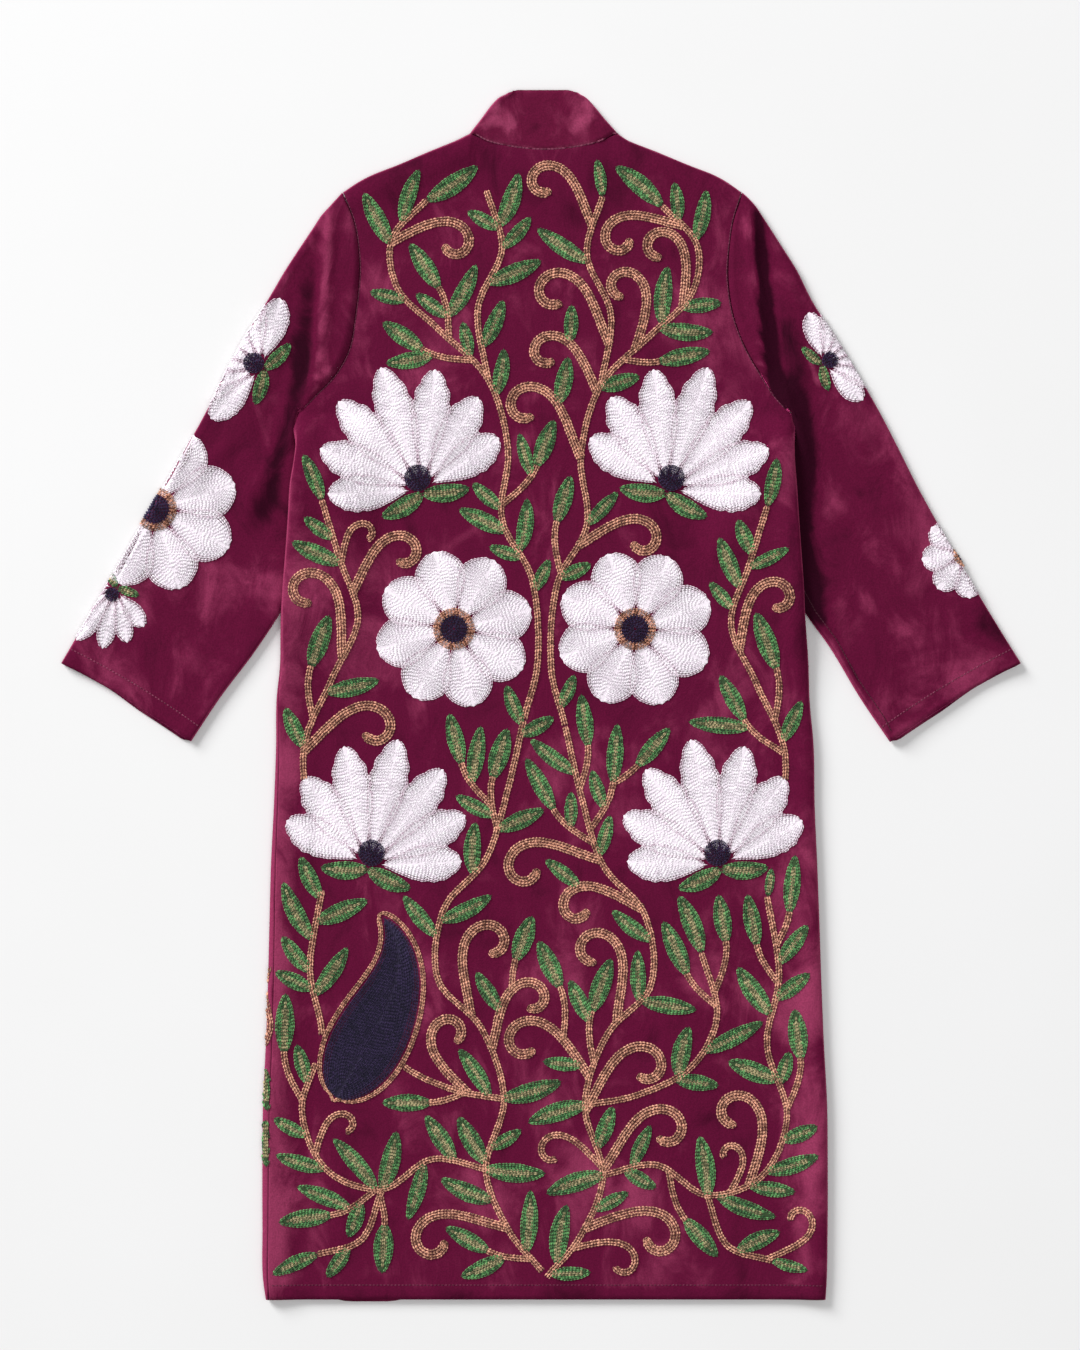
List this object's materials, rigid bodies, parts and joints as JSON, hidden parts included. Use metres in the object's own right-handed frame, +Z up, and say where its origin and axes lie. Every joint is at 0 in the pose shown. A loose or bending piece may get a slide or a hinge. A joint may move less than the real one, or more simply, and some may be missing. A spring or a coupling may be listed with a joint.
{
  "type": "long coat",
  "caption": "Long velvet coat with a stand collar and set-in sleeves, embroidered with vines and white flowers, lying flat with its back up.",
  "frame": {"origin": "centre of the outline's box, on the surface that the coat lies on", "axes": "+Y from the hem to the collar, +X to the wearer's right, +Z up out of the back of the coat"},
  "size_m": [0.96, 1.2096, 0.0156],
  "materials": {
    "velvet_back": "pile",
    "velvet_front": "pile",
    "velvet_sleeve": "pile",
    "velvet_collar": "pile"
  },
  "bodies": {
    "root": {"back_panel": "velvet_back", "front_left": "velvet_front", "front_right": "velvet_front", "sleeve_left": "velvet_sleeve", "sleeve_right": "velvet_sleeve", "collar": "velvet_collar"}
  },
  "joints": []
}
